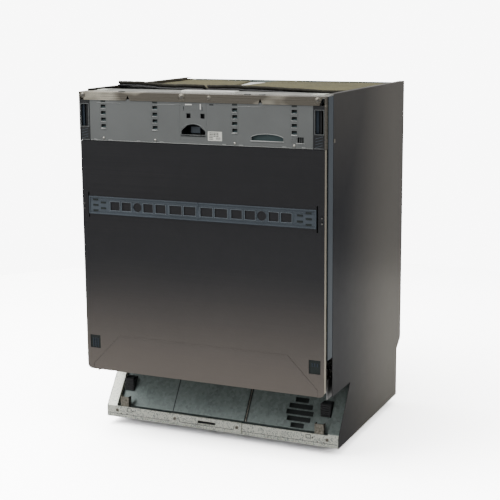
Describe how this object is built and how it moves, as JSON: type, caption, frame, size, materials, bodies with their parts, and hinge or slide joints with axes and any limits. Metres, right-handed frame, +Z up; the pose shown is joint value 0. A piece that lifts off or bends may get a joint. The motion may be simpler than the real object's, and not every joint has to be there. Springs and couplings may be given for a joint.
{
  "type": "built-in dishwasher",
  "caption": "Fully integrated built-in dishwasher without its furniture door: drop-down door, mounting rail, tub with racks and spray arms, sloping galvanised kick.",
  "frame": {"origin": "middle of the floor under the appliance", "axes": "+Z up, +X to the right seen from the front, the door faces -Y"},
  "size_m": [0.598, 0.55, 0.815],
  "materials": {
    "dark_steel": "satin dark stainless-look sheet",
    "bright_steel": "brushed, warm reflections",
    "tub_steel": "fine brushed stainless",
    "galvanised": "zinc spangle",
    "hinge_steel": "pressed steel, plain zinc",
    "screw_steel": "bright zinc",
    "grey_plastic": "fine moulded texture",
    "rail_plastic": "blue-grey moulded",
    "black_plastic": "moulded black",
    "white_plastic": "moulded white",
    "key_plastic": "gloss",
    "dispenser_plastic": "light grey",
    "rack_coating": "nylon-coated wire",
    "seal_rubber": "soft black rubber",
    "olive_felt": "coarse bitumen-backed felt"
  },
  "bodies": {
    "case": {"side_panel_left": "dark_steel", "side_panel_right": "dark_steel", "side_trim_left": "rail_plastic", "side_trim_right": "rail_plastic", "rear_frame": "galvanised", "top_cross_member": "galvanised", "worktop_brackets": "galvanised", "lock_cover": "white_plastic", "front_base_plate": "galvanised", "service_cover": "galvanised", "base_pan": "black_plastic", "spring_tensioners": "black_plastic", "plinth_brackets": "galvanised", "base_screws": "screw_steel", "tub": "tub_steel", "door_seal": "seal_rubber", "top_insulation": "olive_felt", "rear_insulation": "olive_felt", "water_softener": "white_plastic", "sump": "black_plastic", "flat_filter": "tub_steel", "circulation_pump": "black_plastic", "drain_pump": "black_plastic", "supply_tube": "dispenser_plastic", "upper_rack_tracks": "white_plastic", "latch_striker": "hinge_steel", "hinge_brackets": "hinge_steel", "hinge_springs": "hinge_steel", "inlet_valve": "white_plastic", "drain_outlet": "white_plastic", "terminal_box": "black_plastic"},
    "door": {"door_outer_panel": "dark_steel", "door_inner_panel": "tub_steel", "control_cover": "grey_plastic", "control_end_caps": "black_plastic", "control_strip": "bright_steel", "mounting_rail": "rail_plastic", "latch_housing": "black_plastic", "detergent_dispenser": "dispenser_plastic", "hinge_arms": "hinge_steel", "door_screws": "screw_steel"},
    "latch": {"latch_rocker": "black_plastic"},
    "lid": {"dispenser_lid": "dispenser_plastic"},
    "rinse_cap": {"rinse_aid_cap": "dispenser_plastic"},
    "power_key": {"power_button": "key_plastic"},
    "program_key": {"program_button": "key_plastic"},
    "start_key": {"start_button": "key_plastic"},
    "lower_rack": {"lower_rack": "rack_coating", "cutlery_basket": "dispenser_plastic"},
    "front_wheels": {"lower_rack_front_wheels": "white_plastic"},
    "rear_wheels": {"lower_rack_rear_wheels": "white_plastic"},
    "upper_rack": {"upper_rack": "rack_coating"},
    "upper_arm": {"upper_spray_arm": "dispenser_plastic"},
    "lower_arm": {"lower_spray_arm": "dispenser_plastic"},
    "top_arm": {"top_spray_arm": "dispenser_plastic"},
    "filter": {"micro_filter": "dispenser_plastic"},
    "salt_cap": {"salt_cap": "white_plastic"},
    "foot_left": {"foot_front_left": "black_plastic"},
    "foot_right": {"foot_front_right": "black_plastic"},
    "foot_back": {"foot_rear": "black_plastic"}
  },
  "joints": [
    {"name": "door_hinge", "type": "hinge", "parent": "case", "child": "door", "pos_m": [0, -0.228, 0.172], "axis": [1, 0, 0], "range_deg": [0, 90], "deforming": ["hinge_springs"]},
    {"name": "latch_release", "type": "hinge", "parent": "door", "child": "latch", "pos_m": [-0.0095, -0.257, 0.793], "axis": [-1, 0, 0], "range_deg": [0, 10], "stiffness_Nm_per_rad": 0.2},
    {"name": "dispenser_lid_slide", "type": "slide", "parent": "door", "child": "lid", "axis": [1, 0, 0], "range_m": [0, 0.052]},
    {"name": "rinse_cap_flap", "type": "hinge", "parent": "door", "child": "rinse_cap", "pos_m": [0.1345, -0.2177, 0.4057], "axis": [-1, 0, 0], "range_deg": [0, 60]},
    {"name": "power_press", "type": "slide", "parent": "door", "child": "power_key", "axis": [0, 0, -1], "range_m": [0, 0.0012], "stiffness_N_per_m": 800},
    {"name": "program_press", "type": "slide", "parent": "door", "child": "program_key", "axis": [0, 0, -1], "range_m": [0, 0.0012], "stiffness_N_per_m": 800},
    {"name": "start_press", "type": "slide", "parent": "door", "child": "start_key", "axis": [0, 0, -1], "range_m": [0, 0.0012], "stiffness_N_per_m": 800},
    {"name": "lower_rack_slide", "type": "slide", "parent": "case", "child": "lower_rack", "axis": [0, -1, 0], "range_m": [0, 0.015]},
    {"name": "front_wheel_roll", "type": "hinge", "parent": "lower_rack", "child": "front_wheels", "pos_m": [0, -0.13, 0.1998], "axis": [1, 0, 0], "range_deg": [0, 60]},
    {"name": "rear_wheel_roll", "type": "hinge", "parent": "lower_rack", "child": "rear_wheels", "pos_m": [0, 0.157, 0.1998], "axis": [1, 0, 0], "range_deg": [0, 60]},
    {"name": "upper_rack_slide", "type": "slide", "parent": "case", "child": "upper_rack", "axis": [0, -1, 0], "range_m": [0, 0.015]},
    {"name": "upper_arm_spin", "type": "hinge", "parent": "upper_rack", "child": "upper_arm", "pos_m": [0, 0.025, 0.4495], "axis": [0, 0, 1], "continuous": true},
    {"name": "lower_arm_spin", "type": "hinge", "parent": "case", "child": "lower_arm", "pos_m": [0, 0.025, 0.2015], "axis": [0, 0, 1], "continuous": true},
    {"name": "top_arm_spin", "type": "hinge", "parent": "case", "child": "top_arm", "pos_m": [0, 0.025, 0.7725], "axis": [0, 0, 1], "continuous": true},
    {"name": "filter_turn", "type": "hinge", "parent": "case", "child": "filter", "pos_m": [0, -0.041, 0.15], "axis": [0, 0, 1], "range_deg": [0, 90]},
    {"name": "salt_cap_turn", "type": "hinge", "parent": "case", "child": "salt_cap", "pos_m": [-0.194, -0.055, 0.17], "axis": [0, 0, 1], "range_deg": [0, 90]},
    {"name": "front_left_foot_height", "type": "slide", "parent": "case", "child": "foot_left", "axis": [0, 0, -1], "range_m": [0, 0.06]},
    {"name": "front_right_foot_height", "type": "slide", "parent": "case", "child": "foot_right", "axis": [0, 0, -1], "range_m": [0, 0.06]},
    {"name": "rear_foot_height", "type": "slide", "parent": "case", "child": "foot_back", "axis": [0, 0, -1], "range_m": [0, 0.06]}
  ],
  "couplings": [
    {"joint": "front_wheel_roll", "follows": "lower_rack_slide", "rad_per_m": 55.556},
    {"joint": "rear_wheel_roll", "follows": "lower_rack_slide", "rad_per_m": 55.556}
  ]
}
